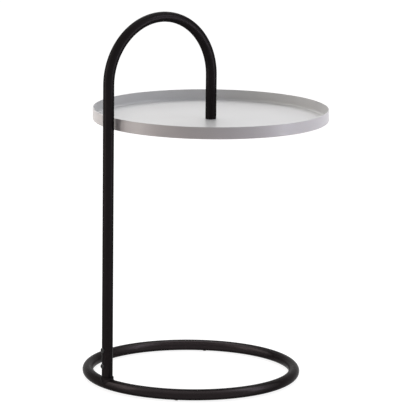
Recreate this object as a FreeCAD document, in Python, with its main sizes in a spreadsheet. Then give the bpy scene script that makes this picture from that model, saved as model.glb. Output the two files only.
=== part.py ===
import FreeCAD, Part

import math
import os
import re

import Sketcher

# Side table: a round tray hung from the end of a tube that rises from a ring base and bends over it like
# the handle of a walking stick. Millimetres, +Z up. The origin is on the floor, at the middle of the
# table's outline in plan. The tube stands at the -X side and its bend lies in the XZ plane, so the
# tray's middle is on the +X side of the tube.

doc = FreeCAD.newDocument("side_table")

# Driving dimensions. Each can be changed by itself.
DIMENSIONS = [
    # tube that makes both the ring and the upright
    ("tube_od", 20.0),
    ("tube_wall", 1.5),
    # ring base, measured over the tube
    ("ring_od", 399.0),
    # upright: centreline radius of its bend, which is half the way between its legs, and its height
    ("bend_radius", 114.5),
    ("overall_height", 679.0),
    # tray of sheet, its rim welded to its floor: the corner is the outer rounding and the fillet the inner
    # one, and the height is that of its underside over the floor
    ("tray_od", 430.0),
    ("tray_sheet", 1.5),
    ("tray_rim", 22.0),
    ("tray_corner", 2.0),
    ("tray_fillet", 5.0),
    ("tray_edge", 0.5),
    ("tray_height", 472.5),
    # foot spigot: a collar saddled on the ring, a pin through the ring's wall and a spigot in the upright
    ("collar_od", 23.6),
    ("collar_rise", 3.0),
    ("collar_skirt", 7.5),
    ("collar_taper", 5.0),
    ("collar_toe", 1.3),
    ("collar_edge", 0.6),
    ("spigot_length", 66.0),
    ("spigot_chamfer", 1.5),
    ("root_pin_d", 12.0),
    ("root_pin_depth", 5.0),
    # button-head screws that hold the upright on the spigot, and the lower one's height in the tube
    ("foot_screw_d", 5.0),
    ("foot_screw_length", 12.0),
    ("foot_screw_head_d", 9.5),
    ("foot_screw_head_height", 2.75),
    ("foot_screw_head_side", 0.6),
    ("foot_screw_crown_d", 5.0),
    ("foot_screw_tip", 0.8),
    ("foot_screw_key", 3.0),
    ("foot_screw_key_depth", 1.9),
    ("foot_screw_low", 20.5),
    ("foot_screw_spacing", 29.5),
    # threaded plug in the upper end of the upright
    ("plug_length", 22.0),
    ("plug_chamfer", 1.0),
    # screw from below that holds the tray on the plug, with its spring washer and backing plate
    ("tray_screw_d", 8.0),
    ("tray_screw_length", 22.0),
    ("tray_screw_head_d", 14.0),
    ("tray_screw_head_height", 4.4),
    ("tray_screw_head_side", 0.9),
    ("tray_screw_crown_d", 7.6),
    ("tray_screw_tip", 1.0),
    ("tray_screw_key", 5.0),
    ("tray_screw_key_depth", 2.7),
    ("plate_od", 80.0),
    ("plate_thick", 3.0),
    ("plate_chamfer", 0.8),
    ("washer_od", 14.4),
    ("washer_thick", 2.0),
    ("washer_split", 1.6),
    ("washer_split_angle", 20.0),
    # glides pushed into the underside of the ring
    ("glide_count", 4),
    ("glide_od", 7.0),
    ("glide_drop", 0.5),
    ("glide_wing", 1.6),
    ("glide_edge", 0.3),
    ("glide_stem_d", 4.0),
    ("glide_stem_length", 6.0),
    ("glide_stem_tip", 0.6),
    # clearances on the radius, and how far a cut runs past the metal
    ("push_fit", 0.1),
    ("weld_fit", 0.02),
    ("thread_fit", 0.05),
    ("screw_fit", 0.25),
    ("overrun", 1.0),
]

# Sizes and places that follow from the driving dimensions.
FOLLOWING = {
    "tube_radius": "tube_od / 2",
    "bore_radius": "tube_radius - tube_wall",
    # plan: the table reaches from the foot screws' heads to the farther of the tray and the ring
    "tray_offset": "2 * bend_radius",
    "ring_radius": "ring_od / 2 - tube_radius",
    "reach": "max(tray_offset + tray_od / 2; ring_od - tube_radius)",
    "tube_x": "(tube_radius + foot_screw_head_height - reach) / 2",
    "ring_x": "tube_x + ring_radius",
    "tray_x": "tube_x + tray_offset",
    # heights over the floor
    "ring_height": "glide_drop + tube_radius",
    "tube_foot": "ring_height + collar_top",
    "tray_floor": "tray_height + tray_sheet",
    # the bend is one half turn where there is room for it over the plug, and else two quarter turns of
    # the radius that there is room for, with a level run between them
    "turn_radius": "min(bend_radius; overall_height - tube_radius - tray_floor - plug_length)",
    "level_run": "2 * (bend_radius - turn_radius)",
    "spring_height": "overall_height - tube_radius - turn_radius",
    # foot spigot, from the ring's centreline
    "collar_radius": "collar_od / 2",
    "collar_top": "tube_radius + collar_rise",
    "collar_low": "tube_radius - collar_skirt",
    "spigot_radius": "bore_radius - push_fit",
    "spigot_top": "collar_top + spigot_length",
    # tray
    "tray_radius": "tray_od / 2",
    "tray_inside": "tray_radius - tray_sheet",
    "tray_flat": "tray_inside - tray_fillet",
    "tray_under": "tray_radius - tray_corner",
    "tray_wall_foot": "tray_sheet + tray_fillet",
    "tray_hole": "tray_screw_d / 2 + screw_fit",
    # glides stand between the upright and each other, all round
    "glide_step": "360 / glide_count",
    "glide_first": "180 - glide_step / 2",
    "glide_radius": "glide_od / 2",
    "glide_stem_radius": "glide_stem_d / 2",
}

LEFT = "left"
RIGHT = "right"
TINY = 1e-9


sheet = doc.addObject("Spreadsheet::Sheet", "Sizes")
for row, (word, value) in enumerate(DIMENSIONS, start=1):
    sheet.set(f"A{row}", word)
    sheet.set(f"B{row}", str(value))
    sheet.setAlias(f"B{row}", word)
doc.recompute()


def cells(text):
    """The same sum with each word put as its cell in the sheet."""
    def swap(match):
        word = match.group(0)
        if word in FOLLOWING:
            return f"({cells(FOLLOWING[word])})"
        return f"Sizes.{word}" if word in dict(DIMENSIONS) else word

    return re.sub(r"[a-z][a-z_]*", swap, text)


def number(text):
    """What a sum of words comes to now."""
    return float(sheet.evalExpression(cells(text)))


def bind(thing, path, text):
    thing.setExpression(path, cells(text))


# Bodies and sketches

def new_body(name, place, turn=FreeCAD.Rotation()):
    body = doc.addObject("PartDesign::Body", name)
    body.Label = name
    body.Placement = FreeCAD.Placement(FreeCAD.Vector(), turn)
    for axis, text in zip("xyz", place):
        bind(body, f"Placement.Base.{axis}", text)
    return body


def new_sketch(body, name, plane, lift=None):
    sketch = body.newObject("Sketcher::SketchObject", name)
    face = next(part for part in body.Origin.OriginFeatures if part.Role == plane)
    sketch.AttachmentSupport = [(face, "")]
    sketch.MapMode = "FlatFace"
    if lift:
        bind(sketch, "AttachmentOffset.Base.z", lift)
    return sketch


def hold(sketch, kind, value, text):
    """One dimension on the sketch, bound to its sum."""
    index = sketch.addConstraint(Sketcher.Constraint(*kind, value))
    bind(sketch, f"Constraints[{index}]", text)


def pin_point(sketch, edge, end, x, y):
    """Holds one end of an edge at x, y. A point on an axis is held to that axis."""
    for text, kind, axis in ((x, "DistanceX", -2), (y, "DistanceY", -1)):
        value = number(text)
        if abs(value) < TINY:
            sketch.addConstraint(Sketcher.Constraint("PointOnObject", edge, end, axis))
        else:
            hold(sketch, (kind, -1, 1, edge, end), value, text)


def add_circle(sketch, x, y, radius):
    centre = FreeCAD.Vector(number(x), number(y), 0)
    edge = sketch.addGeometry(Part.Circle(centre, FreeCAD.Vector(0, 0, 1), number(radius)), False)
    pin_point(sketch, edge, 3, x, y)
    hold(sketch, ("Radius", edge), number(radius), radius)


def add_axis(sketch, x):
    """A construction line parallel to the sketch's vertical axis, to turn a section about."""
    length = number("tube_od")
    foot = FreeCAD.Vector(number(x), 0, 0)
    line = Part.LineSegment(foot, foot + FreeCAD.Vector(0, length, 0))
    edge = sketch.addGeometry(line, True)
    sketch.addConstraint(Sketcher.Constraint("Vertical", edge))
    pin_point(sketch, edge, 1, x, "0")
    hold(sketch, ("Distance", edge), length, "tube_od")


def add_outline(sketch, corners, closed=True):
    """Lines and arcs through the corners. A corner (x, y) is reached by a line, and a corner
    (x, y, centre x, centre y, turn) by an arc."""
    spots = [FreeCAD.Vector(number(corner[0]), number(corner[1]), 0) for corner in corners]
    count = len(corners)
    ends = []
    for here in range(count if closed else count - 1):
        there = (here + 1) % count
        start, stop = spots[here], spots[there]
        step = corners[there]
        if len(step) == 2:
            edge = sketch.addGeometry(Part.LineSegment(start, stop), False)
            ends.append((edge, 1, 2))
            continue
        centre = FreeCAD.Vector(number(step[2]), number(step[3]), 0)
        low, high = (start, stop) if step[4] == LEFT else (stop, start)
        circle = Part.Circle(centre, FreeCAD.Vector(0, 0, 1), centre.distanceToPoint(start))
        arc = Part.ArcOfCircle(circle, circle.parameter(low), circle.parameter(high))
        edge = sketch.addGeometry(arc, False)
        ends.append((edge, 1, 2) if step[4] == LEFT else (edge, 2, 1))
        across = stop - start
        along_x = abs(across.x) >= abs(across.y)
        kind, text = ("DistanceY", step[3]) if along_x else ("DistanceX", step[2])
        if abs(number(text)) < TINY:
            sketch.addConstraint(Sketcher.Constraint("PointOnObject", edge, 3, -1 if along_x else -2))
        else:
            hold(sketch, (kind, -1, 1, edge, 3), number(text), text)
    following = ends[1:] + ends[:1] if closed else ends[1:]
    for (edge, start, stop), (next_edge, next_start, next_stop) in zip(ends, following):
        sketch.addConstraint(Sketcher.Constraint("Coincident", edge, stop, next_edge, next_start))
    for corner, (edge, start, stop) in zip(corners, ends):
        pin_point(sketch, edge, start, corner[0], corner[1])
    if not closed:
        edge, start, stop = ends[-1]
        pin_point(sketch, edge, stop, corners[-1][0], corners[-1][1])


# Features

def turn_about(body, kind, name, sketch, axis="V_Axis"):
    feature = body.newObject(f"PartDesign::{kind}", name)
    feature.Profile = sketch
    feature.ReferenceAxis = (sketch, [axis])
    feature.Angle = 360
    return feature


def push_along(body, kind, name, sketch, length, reverse=False, both_ways=False):
    """A Pad goes along the sketch's normal and a Pocket against it, unless reversed."""
    feature = body.newObject(f"PartDesign::{kind}", name)
    feature.Profile = sketch
    bind(feature, "Length", length)
    feature.Reversed = reverse
    feature.Midplane = both_ways
    return feature


def hexagon(across):
    """Corners of a hexagon from its size across the flats."""
    return [(f"{across} / 2 / cos(30) * cos({60 * side})", f"{across} / 2 / cos(30) * sin({60 * side})")
            for side in range(6)]


# Base

def base_ring():
    """Tube rolled to a ring, with a hole in its top for the spigot's pin and one below for each glide."""
    body = new_body("base_ring", ("ring_x", "0", "ring_height"))
    section = new_sketch(body, "ring_section", "XZ_Plane")
    add_circle(section, "ring_radius", "0", "tube_radius")
    add_circle(section, "ring_radius", "0", "bore_radius")
    turn_about(body, "Revolution", "ring_tube", section)
    # each cut starts halfway between the tube's centreline and its bore
    cut_length = "tube_radius - bore_radius / 2 + overrun"
    pin_hole = new_sketch(body, "pin_hole", "XY_Plane", "bore_radius / 2")
    add_circle(pin_hole, "-ring_radius", "0", "root_pin_d / 2 + push_fit")
    push_along(body, "Pocket", "pin_hole_cut", pin_hole, cut_length, reverse=True)
    glide_hole = new_sketch(body, "glide_hole", "XY_Plane", "-bore_radius / 2")
    add_circle(glide_hole, "ring_radius * cos(glide_first)", "ring_radius * sin(glide_first)",
               "glide_stem_radius + push_fit")
    cut = push_along(body, "Pocket", "glide_hole_cut", glide_hole, cut_length)
    holes = body.newObject("PartDesign::PolarPattern", "glide_holes")
    holes.Originals = [cut]
    holes.Axis = (glide_hole, ["N_Axis"])
    holes.Angle = 360
    bind(holes, "Occurrences", "glide_count")
    body.Tip = holes
    return body


def foot_spigot():
    """Turned piece welded on the ring: collar, pin below and spigot above. Drawn from the ring's
    centreline up, on the upright's axis. The ring's middle lies in +X."""
    body = new_body("foot_spigot", ("tube_x", "0", "ring_height"))
    profile = new_sketch(body, "spigot_profile", "XZ_Plane")
    add_outline(profile, [
        ("0", "collar_low"),
        ("collar_radius - collar_toe", "collar_low"),
        ("collar_radius", "collar_low + collar_taper"),
        ("collar_radius", "collar_top - collar_edge"),
        ("collar_radius - collar_edge", "collar_top",
         "collar_radius - collar_edge", "collar_top - collar_edge", LEFT),
        ("spigot_radius", "collar_top"),
        ("spigot_radius", "spigot_top - spigot_chamfer"),
        ("spigot_radius - spigot_chamfer", "spigot_top"),
        ("0", "spigot_top"),
    ])
    turn_about(body, "Revolution", "collar_and_spigot", profile)
    saddle = new_sketch(body, "saddle", "XZ_Plane")
    add_circle(saddle, "0", "0", "tube_radius + weld_fit")
    add_axis(saddle, "ring_radius")
    turn_about(body, "Groove", "saddle_cut", saddle, "Axis0")
    pin = new_sketch(body, "root_pin", "XY_Plane", "tube_radius - root_pin_depth")
    add_circle(pin, "0", "0", "root_pin_d / 2")
    push_along(body, "Pad", "root_pin_bar", pin, "root_pin_depth + collar_rise / 2")
    taps = new_sketch(body, "screw_holes", "YZ_Plane")
    for height in ("foot_screw_low", "foot_screw_low + foot_screw_spacing"):
        add_circle(taps, "0", f"collar_top + {height}", "foot_screw_d / 2 + thread_fit")
    push_along(body, "Pocket", "screw_holes_cut", taps, "2 * (spigot_radius + overrun)", both_ways=True)
    return body


def glides():
    """Low discs under the ring, each with a stem in the ring's wall. Local +X points out of the ring."""
    bodies = []
    for index in range(int(number("glide_count"))):
        angle = f"(glide_first + {index} * glide_step)"
        name = f"glide_{index + 1}"
        turn = FreeCAD.Rotation(FreeCAD.Vector(0, 0, 1), number(angle))
        body = new_body(name, (f"ring_x + ring_radius * cos{angle}", f"ring_radius * sin{angle}", "0"), turn)
        disc = new_sketch(body, f"{name}_disc", "XZ_Plane")
        add_outline(disc, [
            ("0", "0"),
            ("glide_radius - glide_edge", "0"),
            ("glide_radius", "glide_edge"),
            ("glide_radius", "glide_wing"),
            ("0", "glide_wing"),
        ])
        turn_about(body, "Revolution", f"{name}_foot", disc)
        saddle = new_sketch(body, f"{name}_saddle", "XZ_Plane")
        add_circle(saddle, "0", "ring_height", "tube_radius + weld_fit")
        add_axis(saddle, "-ring_radius")
        turn_about(body, "Groove", f"{name}_saddle_cut", saddle, "Axis0")
        stem = new_sketch(body, f"{name}_stem", "XZ_Plane")
        stem_top = "glide_drop / 2 + glide_stem_length"
        add_outline(stem, [
            ("0", "glide_drop / 2"),
            ("glide_stem_radius", "glide_drop / 2"),
            ("glide_stem_radius", f"{stem_top} - glide_stem_tip"),
            ("glide_stem_radius - glide_stem_tip", stem_top),
            ("0", stem_top),
        ])
        turn_about(body, "Revolution", f"{name}_peg", stem)
        bodies.append(body)
    return bodies


# Upright

def bent_tube():
    """One tube: straight up from the collar, half a turn over, and straight down to the tray's floor."""
    body = new_body("bent_tube", ("tube_x", "0", "tube_foot"))
    path = new_sketch(body, "tube_path", "XZ_Plane")
    spring = "spring_height - tube_foot"
    far = "tray_offset - turn_radius"
    bend = [("tray_offset", spring, "turn_radius", spring, RIGHT)]
    if number("level_run") > TINY:
        bend = [
            ("turn_radius", f"{spring} + turn_radius", "turn_radius", spring, RIGHT),
            (far, f"{spring} + turn_radius"),
            ("tray_offset", spring, far, spring, RIGHT),
        ]
    route = [("0", "0"), ("0", spring)] + bend + [("tray_offset", "tray_floor - tube_foot")]
    add_outline(path, route, closed=False)
    section = new_sketch(body, "tube_section", "XY_Plane")
    add_circle(section, "0", "0", "tube_radius")
    add_circle(section, "0", "0", "bore_radius")
    pipe = body.newObject("PartDesign::AdditivePipe", "tube")
    pipe.Profile = section
    pipe.Spine = (path, [f"Edge{index}" for index in range(1, len(route))])
    holes = new_sketch(body, "tube_screw_holes", "YZ_Plane")
    for height in ("foot_screw_low", "foot_screw_low + foot_screw_spacing"):
        add_circle(holes, "0", height, "foot_screw_d / 2 + screw_fit")
    push_along(body, "Pocket", "tube_screw_holes_cut", holes, "tube_radius + overrun")
    return body


def end_plug():
    """Turned plug pressed in the tube's upper end, tapped through for the tray's screw."""
    body = new_body("end_plug", ("tray_x", "0", "tray_floor"))
    profile = new_sketch(body, "plug_profile", "XZ_Plane")
    add_outline(profile, [
        ("tray_screw_d / 2 + thread_fit", "0"),
        ("spigot_radius", "0"),
        ("spigot_radius", "plug_length - plug_chamfer"),
        ("spigot_radius - plug_chamfer", "plug_length"),
        ("tray_screw_d / 2 + thread_fit", "plug_length"),
    ])
    turn_about(body, "Revolution", "plug", profile)
    return body


# Tray

def tray():
    """Round sheet with an upstanding rim, drawn from the middle of its underside."""
    body = new_body("tray", ("tray_x", "0", "tray_height"))
    profile = new_sketch(body, "tray_profile", "XZ_Plane")
    add_outline(profile, [
        ("tray_hole", "0"),
        ("tray_under", "0"),
        ("tray_radius", "tray_corner", "tray_under", "tray_corner", LEFT),
        ("tray_radius", "tray_rim - tray_edge"),
        ("tray_radius - tray_edge", "tray_rim", "tray_radius - tray_edge", "tray_rim - tray_edge", LEFT),
        ("tray_inside + tray_edge", "tray_rim"),
        ("tray_inside", "tray_rim - tray_edge", "tray_inside + tray_edge", "tray_rim - tray_edge", LEFT),
        ("tray_inside", "tray_wall_foot"),
        ("tray_flat", "tray_sheet", "tray_flat", "tray_wall_foot", RIGHT),
        ("tray_hole", "tray_sheet"),
    ])
    turn_about(body, "Revolution", "rimmed_tray", profile)
    return body


def backing_plate():
    """Round plate under the tray that spreads the screw's pull over the sheet."""
    body = new_body("backing_plate", ("tray_x", "0", "tray_height - plate_thick"))
    profile = new_sketch(body, "plate_profile", "XZ_Plane")
    add_outline(profile, [
        ("tray_hole", "0"),
        ("plate_od / 2 - plate_chamfer", "0"),
        ("plate_od / 2", "plate_chamfer"),
        ("plate_od / 2", "plate_thick"),
        ("tray_hole", "plate_thick"),
    ])
    turn_about(body, "Revolution", "plate", profile)
    return body


def lock_washer():
    """Split spring washer, pressed flat."""
    body = new_body("lock_washer", ("tray_x", "0", "tray_height - plate_thick - washer_thick"))
    ring = new_sketch(body, "washer_ring", "XY_Plane")
    add_circle(ring, "0", "0", "washer_od / 2")
    add_circle(ring, "0", "0", "tray_hole")
    push_along(body, "Pad", "washer", ring, "washer_thick")
    split = new_sketch(body, "washer_split", "XZ_Plane")
    lean = "washer_thick * tan(washer_split_angle)"
    add_outline(split, [
        ("-(washer_split + {}) / 2".format(lean), "0"),
        ("(washer_split - {}) / 2".format(lean), "0"),
        ("(washer_split + {}) / 2".format(lean), "washer_thick"),
        ("-(washer_split - {}) / 2".format(lean), "washer_thick"),
    ])
    push_along(body, "Pocket", "washer_split_cut", split, "washer_od", reverse=True)
    return body


# Screws

def button_screw(name, kind, place, turn):
    """Button-head screw with a hexagon socket. Drawn from under the head, with the head upward."""
    body = new_body(name, place, turn)
    shank = f"{kind}_d / 2"
    head = f"{kind}_head_d / 2"
    crown = f"{kind}_crown_d / 2"
    top = f"{kind}_head_height"
    side = f"{kind}_head_side"
    dome = f"((({head} - {crown})^2 + ({top} - {side})^2) / 2 / ({top} - {side}))"
    profile = new_sketch(body, f"{name}_profile", "XZ_Plane")
    add_outline(profile, [
        ("0", f"-{kind}_length"),
        (f"{shank} - {kind}_tip", f"-{kind}_length"),
        (shank, f"{kind}_tip - {kind}_length"),
        (shank, "0"),
        (head, "0"),
        (head, side),
        (crown, top, crown, f"{top} - {dome}", LEFT),
        ("0", top),
    ])
    turn_about(body, "Revolution", f"{name}_blank", profile)
    socket = new_sketch(body, f"{name}_socket", "XY_Plane", top)
    add_outline(socket, hexagon(f"{kind}_key"))
    push_along(body, "Pocket", f"{name}_socket_cut", socket, f"{kind}_key_depth")
    return body


def foot_screws():
    """Two screws in a line up the outer side of the upright, heads to -X."""
    outward = FreeCAD.Rotation(FreeCAD.Vector(0, 0, 1), FreeCAD.Vector(-1, 0, 0))
    places = {"foot_screw_lower": "foot_screw_low", "foot_screw_upper": "foot_screw_low + foot_screw_spacing"}
    return [button_screw(name, "foot_screw", ("tube_x - tube_radius", "0", f"tube_foot + {height}"), outward)
            for name, height in places.items()]


def tray_screw():
    """Screw from below, through the washer, the plate and the tray into the plug."""
    downward = FreeCAD.Rotation(FreeCAD.Vector(1, 0, 0), 180)
    under = ("tray_x", "0", "tray_height - plate_thick - washer_thick")
    return button_screw("tray_screw", "tray_screw", under, downward)


bodies = [base_ring(), foot_spigot(), bent_tube(), end_plug(), tray(), backing_plate(), lock_washer()]
bodies += foot_screws() + [tray_screw()] + glides()
doc.recompute()


# Checks: nothing failed, each piece is one closed solid, each cut took metal away, and the bent tube
# holds the metal of its section times its length.

for thing in doc.Objects:
    if {"Invalid", "Error"} & set(thing.State):
        raise RuntimeError(f"{thing.Label} failed: {thing.State}")

for body in bodies:
    shape = body.Shape
    if shape.isNull() or not shape.isValid() or len(shape.Solids) != 1:
        raise RuntimeError(f"{body.Label} is not one valid solid")
    for feature in body.Group:
        if feature.TypeId in ("PartDesign::Pocket", "PartDesign::Groove", "PartDesign::PolarPattern"):
            if feature.Shape.Volume >= feature.BaseFeature.Shape.Volume:
                raise RuntimeError(f"{feature.Label} cut nothing")
    print(f"{body.Label}: {shape.Volume:.1f} mm3")

straight_length = number("2 * spring_height - tube_foot - tray_floor + level_run")
tube_length = straight_length + math.pi * number("turn_radius")
tube_metal = math.pi * (number("tube_radius") ** 2 - number("bore_radius") ** 2) * tube_length
tube_made = doc.getObject("tube").Shape.Volume
print(f"bent tube: {tube_length:.1f} mm long, {tube_made:.1f} mm3 made, {tube_metal:.1f} mm3 by its length")
if abs(tube_made - tube_metal) > tube_metal / 1000:
    raise RuntimeError("the bent tube's volume is not its section times its length")

os.makedirs("parts", exist_ok=True)
for body in bodies:
    body.Shape.exportStep(f"parts/{body.Label}.step")
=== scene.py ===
import math

import bmesh
import bpy
from mathutils import Euler, Matrix, Vector


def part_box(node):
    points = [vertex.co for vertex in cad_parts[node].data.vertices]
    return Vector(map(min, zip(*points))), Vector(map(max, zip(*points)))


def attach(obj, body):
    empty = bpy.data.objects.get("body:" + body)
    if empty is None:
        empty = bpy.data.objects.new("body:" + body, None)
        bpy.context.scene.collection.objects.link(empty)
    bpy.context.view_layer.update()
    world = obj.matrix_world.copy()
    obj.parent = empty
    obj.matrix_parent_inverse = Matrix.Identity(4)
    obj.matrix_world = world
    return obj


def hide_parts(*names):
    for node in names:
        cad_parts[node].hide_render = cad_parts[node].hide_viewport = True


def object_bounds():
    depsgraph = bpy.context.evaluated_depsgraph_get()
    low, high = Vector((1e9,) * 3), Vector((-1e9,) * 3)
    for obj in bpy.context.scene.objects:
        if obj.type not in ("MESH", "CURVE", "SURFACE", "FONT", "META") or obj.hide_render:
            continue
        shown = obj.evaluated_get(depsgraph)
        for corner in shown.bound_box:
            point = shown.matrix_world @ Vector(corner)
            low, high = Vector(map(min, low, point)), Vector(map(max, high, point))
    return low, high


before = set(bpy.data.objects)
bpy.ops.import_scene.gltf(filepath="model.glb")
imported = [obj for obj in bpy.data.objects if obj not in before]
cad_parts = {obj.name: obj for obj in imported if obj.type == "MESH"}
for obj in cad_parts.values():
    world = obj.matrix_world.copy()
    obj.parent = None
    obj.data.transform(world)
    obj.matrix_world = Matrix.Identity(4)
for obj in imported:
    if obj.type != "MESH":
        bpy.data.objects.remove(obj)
cadLow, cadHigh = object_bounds()

# side table: a round tray hung from a bent tube on a ring base, metres, +Z up

scene = bpy.context.scene
scene.view_settings.view_transform = "Standard"
mm = 0.001
print("packed pieces loaded:", len(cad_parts))


# small helpers

def newMaterial(name):
    material = bpy.data.materials.new(name)
    material.use_nodes = True
    tree = material.node_tree
    tree.nodes.clear()
    output = addNode(tree, "ShaderNodeOutputMaterial", 900, 0)
    return material, tree, output


def addNode(tree, kind, x, y, **values):
    # x and y are its place in the editor, values its settings or, with _ for a space, its sockets
    node = tree.nodes.new(kind)
    node.location = (x, y)
    for name, value in values.items():
        if hasattr(node, name):
            setattr(node, name, value)
        else:
            node.inputs[name.replace("_", " ")].default_value = value
    return node


def join(tree, start, end):
    tree.links.new(start, end)


def mapRange(tree, x, y, source, low, high, span=(0.0, 1.0)):
    # turns the source's span into low to high, and low may come from another node
    node = addNode(tree, "ShaderNodeMapRange", x, y, From_Min=span[0], From_Max=span[1], To_Max=high)
    if isinstance(low, bpy.types.NodeSocket):
        join(tree, low, node.inputs["To Min"])
    else:
        node.inputs["To Min"].default_value = low
    join(tree, source, node.inputs["Value"])
    return node.outputs["Result"]


def mixColors(tree, x, y, factor, first, second):
    node = addNode(tree, "ShaderNodeMix", x, y, data_type="RGBA", A=(*first, 1), B=(*second, 1))
    join(tree, factor, node.inputs["Factor"])
    return node.outputs["Result"]


def newPiece(name, rings, material):
    # a closed skin: faces from each ring of points to the next, and from the last to the first
    count = len(rings[0])
    points = [point for ring in rings for point in ring]
    faces = []
    for number in range(len(rings)):
        here = number * count
        there = (number + 1) % len(rings) * count
        for side in range(count):
            after = (side + 1) % count
            faces.append((here + side, here + after, there + after, there + side))
    mesh = bpy.data.meshes.new(name)
    mesh.from_pydata(points, [], faces)
    shape = bmesh.new()
    shape.from_mesh(mesh)
    bmesh.ops.recalc_face_normals(shape, faces=shape.faces)
    shape.to_mesh(mesh)
    shape.free()
    mesh.shade_smooth()
    mesh.materials.append(material)
    piece = bpy.data.objects.new(name, mesh)
    scene.collection.objects.link(piece)
    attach(piece, "root")
    return piece


# coats, paint and nylon: a fine grain on a slower waviness, with a slight cloud in tone and gloss

powderCoat = {
    "dark": (0.0068, 0.0058, 0.006),
    "light": (0.0104, 0.009, 0.0093),
    "grain": 1300,                 # grains per metre
    "peel": 330,                   # waves of the coat per metre
    "cloud": 14,                   # clouds per metre
    "rough": (0.25, 0.33),
    "grainDepth": 0.04 * mm,
    "specular": 0.095,
    "specularAside": 0.01,         # what is left of it where the coat is seen aslant
    "asideSpan": (0.17, 0.41),     # how far aslant that starts and is full, 1 being edge on
    "shine": (1.0, 0.84, 0.89),    # colour of the shine, a little warm
}

# the ring's copy of the tube's black coat, lighter and glossier: painted sheen standing in for the
# light on the ring's top
ringCoatPaintedSheen = {
    **powderCoat,
    "dark": (0.01, 0.0082, 0.0083),
    "light": (0.016, 0.0133, 0.0134),
    "specular": 0.16,              # painted sheen: more shine than the same coat on the tube
    "paintedSheenAbove": 0.34,         # and still more where it faces up, a painted sheen for light from above
    "aboveSpan": (0.25, 0.7),      # how far up it faces where that starts and is full, 1 being level
}

trayPaint = {
    "dark": (0.565, 0.563, 0.561),
    "light": (0.595, 0.593, 0.591),
    "grain": 1500,
    "peel": 420,
    "cloud": 9,
    "rough": (0.31, 0.37),
    "grainDepth": 0.012 * mm,
    "specular": 0.5,
}

screwBlack = {
    "dark": (0.006, 0.006, 0.0065),
    "light": (0.013, 0.0125, 0.013),
    "grain": 2200,
    "peel": 700,
    "cloud": 120,
    "rough": (0.3, 0.45),
    "grainDepth": 0.02 * mm,
    "specular": 0.3,
}

glideNylon = {
    "dark": (0.66, 0.65, 0.62),
    "light": (0.74, 0.73, 0.7),
    "grain": 900,
    "peel": 300,
    "cloud": 80,
    "rough": (0.5, 0.68),
    "grainDepth": 0.03 * mm,
    "specular": 0.4,
}

peelHeight = 1.5          # of the waves, against the grain's height
toneSpan = (0.75, 1.25)   # what grain and cloud add up to in the darkest and in the lightest spots


def coatedSurface(name, look):
    material, tree, output = newMaterial(name)
    shader = addNode(tree, "ShaderNodeBsdfPrincipled", 600, 0, Specular_IOR_Level=look["specular"])
    if "shine" in look:
        shader.inputs["Specular Tint"].default_value = (*look["shine"], 1)
    if "specularAside" in look:
        join(tree, shineByAngle(tree, look), shader.inputs["Specular IOR Level"])
    place = addNode(tree, "ShaderNodeTexCoord", -900, 0).outputs["Object"]
    grain = addNode(tree, "ShaderNodeTexNoise", -650, 200, Scale=look["grain"], Detail=2.0)
    peel = addNode(tree, "ShaderNodeTexNoise", -650, -50, Scale=look["peel"], Detail=1.0)
    cloud = addNode(tree, "ShaderNodeTexNoise", -650, -300, Scale=look["cloud"], Detail=3.0)
    for noise in (grain, peel, cloud):
        join(tree, place, noise.inputs["Vector"])
    blend = addNode(tree, "ShaderNodeMath", -400, 100, operation="ADD")
    join(tree, grain.outputs["Fac"], blend.inputs[0])
    join(tree, cloud.outputs["Fac"], blend.inputs[1])
    tone = mapRange(tree, -200, 200, blend.outputs[0], 0, 1, toneSpan)
    color = mixColors(tree, 50, 200, tone, look["dark"], look["light"])
    rough = mapRange(tree, -200, -50, blend.outputs[0], *look["rough"], toneSpan)
    height = addNode(tree, "ShaderNodeMath", -400, -200, operation="MULTIPLY_ADD")
    join(tree, peel.outputs["Fac"], height.inputs[0])
    height.inputs[1].default_value = peelHeight
    join(tree, grain.outputs["Fac"], height.inputs[2])
    bump = addNode(tree, "ShaderNodeBump", 300, -250, Strength=1.0, Distance=look["grainDepth"])
    join(tree, height.outputs[0], bump.inputs["Height"])
    join(tree, color, shader.inputs["Base Color"])
    join(tree, rough, shader.inputs["Roughness"])
    join(tree, bump.outputs["Normal"], shader.inputs["Normal"])
    join(tree, shader.outputs["BSDF"], output.inputs["Surface"])
    return material


def shineByAngle(tree, look):
    # a rough coat loses its shine at a glancing angle
    shine = look["specular"]
    # on the ring, more shine where it faces up: painted sheen for light falling from above
    if "paintedSheenAbove" in look:
        facing = addNode(tree, "ShaderNodeNewGeometry", -250, 750)
        upward = addNode(tree, "ShaderNodeSeparateXYZ", -50, 750)
        join(tree, facing.outputs["Normal"], upward.inputs[0])
        shine = mapRange(tree, 150, 750, upward.outputs["Z"], shine, look["paintedSheenAbove"],
                         look["aboveSpan"])
    turned = addNode(tree, "ShaderNodeLayerWeight", 150, 500, Blend=0.5)
    return mapRange(tree, 350, 500, turned.outputs["Facing"], shine, look["specularAside"],
                    look["asideSpan"])


# zinc plate on the hidden steel parts

zincPlate = {
    "dark": (0.42, 0.42, 0.41),
    "light": (0.6, 0.6, 0.59),
    "spangle": 900,                # grains of the zinc per metre
    "scratch": 1600,
    "rough": (0.22, 0.42),
    "scratchDepth": 0.02 * mm,
    "scratchStrength": 0.6,
}


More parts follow.
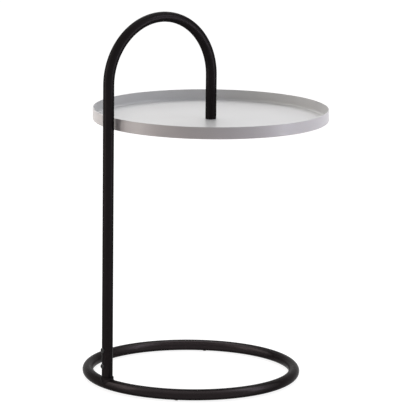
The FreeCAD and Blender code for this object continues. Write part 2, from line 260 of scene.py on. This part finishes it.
def zincSurface(name, look):
    material, tree, output = newMaterial(name)
    shader = addNode(tree, "ShaderNodeBsdfPrincipled", 600, 0, Metallic=1.0)
    place = addNode(tree, "ShaderNodeTexCoord", -900, 0).outputs["Object"]
    spangle = addNode(tree, "ShaderNodeTexVoronoi", -650, 200, Scale=look["spangle"])
    scratch = addNode(tree, "ShaderNodeTexNoise", -650, -100, Scale=look["scratch"], Detail=4.0)
    for noise in (spangle, scratch):
        join(tree, place, noise.inputs["Vector"])
    color = mixColors(tree, 50, 200, scratch.outputs["Fac"], look["dark"], look["light"])
    rough = mapRange(tree, -200, -50, spangle.outputs["Distance"], *look["rough"])
    bump = addNode(tree, "ShaderNodeBump", 300, -250, Strength=look["scratchStrength"],
                   Distance=look["scratchDepth"])
    join(tree, scratch.outputs["Fac"], bump.inputs["Height"])
    join(tree, color, shader.inputs["Base Color"])
    join(tree, rough, shader.inputs["Roughness"])
    join(tree, bump.outputs["Normal"], shader.inputs["Normal"])
    join(tree, shader.outputs["BSDF"], output.inputs["Surface"])
    return material


blackCoat = coatedSurface("black_powder_coat", powderCoat)
ringBlackPaintedSheen = coatedSurface("black_powder_coat_ring_painted_sheen", ringCoatPaintedSheen)
greyPaint = coatedSurface("grey_tray_paint", trayPaint)
blackSteel = coatedSurface("black_screw_steel", screwBlack)
nylon = coatedSurface("natural_nylon", glideNylon)
zinc = zincSurface("bright_zinc", zincPlate)
print("finishes made")


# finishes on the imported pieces

finishes = {
    "base_ring": ringBlackPaintedSheen,
    "foot_spigot": blackCoat,
    "bent_tube": blackCoat,
    "backing_plate": blackCoat,
    "tray": greyPaint,
    "foot_screw_lower": blackSteel,
    "foot_screw_upper": blackSteel,
    "end_plug": zinc,
    "lock_washer": zinc,
    "tray_screw": zinc,
    "glide_1": nylon,
    "glide_2": nylon,
    "glide_3": nylon,
    "glide_4": nylon,
}

for name, material in finishes.items():
    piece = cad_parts[name]
    piece.data.materials.clear()
    piece.data.materials.append(material)
print("packed pieces finished:", len(finishes))


# bent tube: straight up, half a turn and straight down, a little flattened by the bending

bentTube = {
    "wall": 1.5 * mm,
    "flatten": 0.08,           # how much thinner the bend's top is, in the plane of the bend
    "widen": 0.015,            # and how much wider it is across
    "gather": 4,               # how much of the flattening lies at the top
    "edge": 0.7 * mm,          # rounding of both cut ends
    "edgeSteps": 5,
    "sides": 88,
    "bendSteps": 132,
}


def makeBentTube(look):
    low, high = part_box("bent_tube")
    ringLow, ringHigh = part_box("base_ring")
    radius = (ringHigh.z - ringLow.z) / 2     # the ring is of the same tube
    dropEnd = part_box("end_plug")[0].z         # the plug ends level with the tube round it
    left = low.x + radius
    right = high.x - radius
    middle = (left + right) / 2
    bend = (right - left) / 2
    spring = high.z - radius - bend

    def circle(center, lean, size, flat=1, wide=1):
        # lean turns its first point from -X up over the bend
        first = Vector((-math.cos(lean), 0, math.sin(lean)))
        points = []
        for side in range(look["sides"]):
            turn = math.tau * side / look["sides"]
            points.append(center + first * size * flat * math.cos(turn)
                          + Vector((0, size * wide * math.sin(turn), 0)))
        return points

    def overTheBend(size):
        circles = [circle(Vector((left, 0, spring)), 0, size)]
        for step in range(1, look["bendSteps"]):
            lean = math.pi * step / look["bendSteps"]
            share = math.sin(lean) ** look["gather"]
            center = Vector((middle - bend * math.cos(lean), 0, spring + bend * math.sin(lean)))
            circles.append(circle(center, lean, size, 1 - look["flatten"] * share,
                                  1 + look["widen"] * share))
        circles.append(circle(Vector((right, 0, spring)), math.pi, size))
        return circles

    def cutEnd(x, z, lean):
        # rounded from the outer wall down to the cut, then across to the bore
        circles = []
        for step in range(look["edgeSteps"] + 1):
            turn = math.pi / 2 * step / look["edgeSteps"]
            inset = look["edge"] * (1 - math.cos(turn))
            lift = look["edge"] * (1 - math.sin(turn))
            circles.append(circle(Vector((x, 0, z + lift)), lean, radius - inset))
        circles.append(circle(Vector((x, 0, z)), lean, radius - look["wall"]))
        return circles

    # out over the bend and back through the bore
    rings = cutEnd(left, low.z, 0)[::-1] + overTheBend(radius)
    rings += cutEnd(right, dropEnd, math.pi) + overTheBend(radius - look["wall"])[::-1]
    tube = newPiece("tube_bent_over", rings, blackCoat)
    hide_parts("bent_tube")


makeBentTube(bentTube)
print("bent tube made")


# weld bead round the collar, over the corner between the collar and the ring's tube

footWeld = {
    "along": 2.5 * mm,         # how far it reaches from the collar along the ring
    "sideAngle": 92,           # how far down the ring's sides, in degrees from its top
    "topAlong": 2.4 * mm,      # how far up the collar, over the ring's top
    "topAcross": 4.5 * mm,     # and at the ring's sides, over its middle
    "toeRadius": 10.5 * mm,    # of the collar's lower part
    "toeHeight": 13 * mm,      # that part's upper end, where a cone begins
    "coneTop": 18 * mm,        # and where the collar is at its full width
    "bulge": 0.25 * mm,
    "ripple": 0.13 * mm,
    "ripples": 33,
    "ripplesLean": 0.9,        # how far each ripple's middle runs ahead of its ends, in half ripples
    "steps": 396,
    "across": 12,
    "depth": 0.8 * mm,         # of the edge that is sunk into the metal
}


def makeFootWeld(look):
    collarLow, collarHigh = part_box("foot_spigot")
    ringLow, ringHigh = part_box("base_ring")
    axis = (collarLow.x + collarHigh.x) / 2
    collarRadius = (collarHigh.x - collarLow.x) / 2
    tubeRadius = (ringHigh.z - ringLow.z) / 2
    level = (ringHigh.z + ringLow.z) / 2
    middle = (ringHigh.x + ringLow.x) / 2
    ringRadius = middle - axis

    def onRing(turn, inset):
        along = (collarRadius + look["along"]) * math.sin(turn) / ringRadius
        tilt = math.radians(look["sideAngle"]) * math.cos(turn)
        reach = ringRadius - (tubeRadius - inset) * math.sin(tilt)
        return Vector((middle - reach * math.cos(along), reach * math.sin(along),
                       level + (tubeRadius - inset) * math.cos(tilt)))

    def onCollar(turn, inset):
        share = math.sin(turn) ** 2
        height = (ringHigh.z + look["topAlong"]) * share + (level + look["topAcross"]) * (1 - share)
        cone = (height - look["toeHeight"]) / (look["coneTop"] - look["toeHeight"])
        cone = min(max(cone, 0), 1)
        radius = look["toeRadius"] + (collarRadius - look["toeRadius"]) * cone - inset
        return Vector((axis + radius * math.cos(turn), radius * math.sin(turn), height))

    rows = []
    for step in range(look["steps"]):
        turn = math.tau * step / look["steps"]
        upper = onCollar(turn, 0)
        lower = onRing(turn, 0)
        upperSunk = onCollar(turn, look["depth"])
        lowerSunk = onRing(turn, look["depth"])
        outward = ((upper + lower) / 2 - (upperSunk + lowerSunk) / 2).normalized()
        row = [upperSunk]
        for part in range(look["across"] + 1):
            share = part / look["across"]
            bow = 4 * share * (1 - share)     # 0 at both edges of the bead and 1 in its middle
            wave = math.cos(look["ripples"] * turn - look["ripplesLean"] * bow * math.pi)
            out = (look["bulge"] + look["ripple"] * wave) * bow
            row.append(upper.lerp(lower, share) + outward * out)
        row.append(lowerSunk)
        rows.append(row)
    newPiece("foot_weld", rows, blackCoat)


makeFootWeld(footWeld)
print("weld made")


# camera, at the left front and looking a little down

view = {
    "place": (-3.4242, -4.4730, 1.4155),
    "turn": 37.4725,           # degrees from +Y towards +X
    "down": 11.0696,
    "roll": 0.6446,
    "lens": 274.42,            # mm, as is the sensor's width
    "sensor": 36,
    "near": 0.1,               # metres, the range that it sees
    "far": 60,
}


def makeCamera(look):
    data = bpy.data.cameras.new("camera")
    data.sensor_width = look["sensor"]
    data.lens = look["lens"]
    data.clip_start = look["near"]
    data.clip_end = look["far"]
    camera = bpy.data.objects.new("camera", data)
    scene.collection.objects.link(camera)
    aim = Euler((math.radians(90 - look["down"]), 0, math.radians(-look["turn"]))).to_matrix()
    aim = aim @ Matrix.Rotation(math.radians(look["roll"]), 3, "Z")
    camera.matrix_world = Matrix.Translation(look["place"]) @ aim.to_4x4()
    scene.camera = camera


makeCamera(view)
print("camera placed")


# studio: a broad soft light over and behind the table, smaller ones at both sides of it, a pale
# floor, and white all round

studio = {
    "air": 0.17,                         # light from all round
    "floorBounce": (0.92, 0.8, 0.82),    # how pale the floor is to the light
    "floorWhite": 0.86,                  # plain white that the floor shows near the table
    "floorShade": 0.333,                 # and how much the light adds to it there
    "fadeSpan": (0.8, 2.0),              # how far out the plain white starts to grow and is full
    "floorRadius": 6.0,
    "floorSides": 96,
}

warmLight = (1.0, 0.93, 0.87)
plainLight = (1.0, 1.0, 1.0)
coolLight = (0.88, 0.89, 1.0)

softBoxes = {
    # round is in degrees from the camera and more goes to its right, height is that of the middle
    "top": {"round": 180, "distance": 1.2, "height": 2.05, "width": 2.6, "tall": 2.0,
            "watts": 38.5, "color": plainLight},
    "left": {"round": -100, "distance": 2.2, "height": 0.9, "width": 1.2, "tall": 1.9,
             "watts": 9, "color": warmLight},
    "left_strip": {"round": -70, "distance": 1.4, "height": 0.5, "width": 0.3, "tall": 1.0,
                   "watts": 3.5, "color": warmLight},
    "left_high": {"round": -100, "distance": 1.5, "height": 1.2, "width": 0.9, "tall": 0.9,
                  "watts": 3.6, "color": warmLight},
    "right": {"round": 82, "distance": 2.2, "height": 0.9, "width": 1.2, "tall": 1.9,
              "watts": 4, "color": coolLight},
    "right_strip": {"round": 70, "distance": 1.4, "height": 0.4, "width": 0.3, "tall": 0.8,
                    "watts": 3.6, "color": coolLight},
    "right_high": {"round": 78, "distance": 1.2, "height": 1.4, "width": 0.6, "tall": 0.6,
                   "watts": 5, "color": coolLight},
}


def whiteToTheEye(tree, x, y):
    # 1 for what the camera, a reflection or clear material sees
    path = addNode(tree, "ShaderNodeLightPath", x, y)
    first = addNode(tree, "ShaderNodeMath", x + 200, y, operation="MAXIMUM")
    second = addNode(tree, "ShaderNodeMath", x + 400, y, operation="MAXIMUM")
    join(tree, path.outputs["Is Camera Ray"], first.inputs[0])
    join(tree, path.outputs["Is Glossy Ray"], first.inputs[1])
    join(tree, first.outputs[0], second.inputs[0])
    join(tree, path.outputs["Is Transmission Ray"], second.inputs[1])
    return second.outputs[0]


def makeAir(look):
    world = bpy.data.worlds.new("studio_air")
    scene.world = world
    world.use_nodes = True
    tree = world.node_tree
    tree.nodes.clear()
    output = addNode(tree, "ShaderNodeOutputWorld", 600, 0)
    mix = addNode(tree, "ShaderNodeMixShader", 400, 0)
    dim = addNode(tree, "ShaderNodeBackground", 150, -50, Color=(1, 1, 1, 1), Strength=look["air"])
    white = addNode(tree, "ShaderNodeBackground", 150, -200, Color=(1, 1, 1, 1), Strength=1.0)
    join(tree, whiteToTheEye(tree, -500, 200), mix.inputs[0])
    join(tree, dim.outputs[0], mix.inputs[1])
    join(tree, white.outputs[0], mix.inputs[2])
    join(tree, mix.outputs[0], output.inputs["Surface"])


def makeFloor(look):
    corners = []
    for side in range(look["floorSides"]):
        turn = math.tau * side / look["floorSides"]
        corners.append((look["floorRadius"] * math.cos(turn), look["floorRadius"] * math.sin(turn), 0))
    mesh = bpy.data.meshes.new("floor")
    mesh.from_pydata(corners, [], [list(range(look["floorSides"]))])
    floor = bpy.data.objects.new("floor", mesh)
    scene.collection.objects.link(floor)
    material, tree, output = newMaterial("pale_floor")
    # to the light: plain and pale
    bounce = addNode(tree, "ShaderNodeBsdfDiffuse", 100, 250, Color=(*look["floorBounce"], 1))
    # to the eye: white, with the table's soft shadow
    shade = addNode(tree, "ShaderNodeBsdfDiffuse", -100, 0, Color=(*[look["floorShade"]] * 3, 1))
    place = addNode(tree, "ShaderNodeTexCoord", -900, -200).outputs["Object"]
    away = addNode(tree, "ShaderNodeVectorMath", -700, -200, operation="LENGTH")
    join(tree, place, away.inputs[0])
    fade = mapRange(tree, -450, -200, away.outputs["Value"], look["floorWhite"], 1.0, look["fadeSpan"])
    white = addNode(tree, "ShaderNodeEmission", -100, -200, Color=(1, 1, 1, 1))
    join(tree, fade, white.inputs["Strength"])
    shown = addNode(tree, "ShaderNodeAddShader", 100, -50)
    join(tree, shade.outputs[0], shown.inputs[0])
    join(tree, white.outputs[0], shown.inputs[1])
    mix = addNode(tree, "ShaderNodeMixShader", 350, 50)
    join(tree, whiteToTheEye(tree, -500, 450), mix.inputs[0])
    join(tree, bounce.outputs[0], mix.inputs[1])
    join(tree, shown.outputs[0], mix.inputs[2])
    # seen from below it is clear
    clear = addNode(tree, "ShaderNodeBsdfTransparent", 350, -150)
    side = addNode(tree, "ShaderNodeNewGeometry", 350, 300)
    both = addNode(tree, "ShaderNodeMixShader", 600, 0)
    join(tree, side.outputs["Backfacing"], both.inputs[0])
    join(tree, mix.outputs[0], both.inputs[1])
    join(tree, clear.outputs[0], both.inputs[2])
    join(tree, both.outputs[0], output.inputs["Surface"])
    mesh.materials.append(material)


def makeSoftBox(name, look):
    data = bpy.data.lights.new(name, "AREA")
    data.shape = "RECTANGLE"
    data.size = look["width"]
    data.size_y = look["tall"]
    data.energy = look["watts"]
    data.color = look["color"]
    light = bpy.data.objects.new(name, data)
    light.visible_camera = False
    scene.collection.objects.link(light)
    heading = math.radians(180 + view["turn"] - look["round"])
    spot = Vector((math.sin(heading), math.cos(heading), 0)) * look["distance"]
    spot.z = look["height"]
    middle = Vector((0, 0, (cadLow.z + cadHigh.z) / 2))
    light.location = spot
    light.rotation_euler = (middle - spot).to_track_quat("-Z", "Y").to_euler()


makeAir(studio)
makeFloor(studio)
for name, box in softBoxes.items():
    makeSoftBox(name + "_soft_box", box)
print("studio lit with", len(softBoxes), "soft boxes")
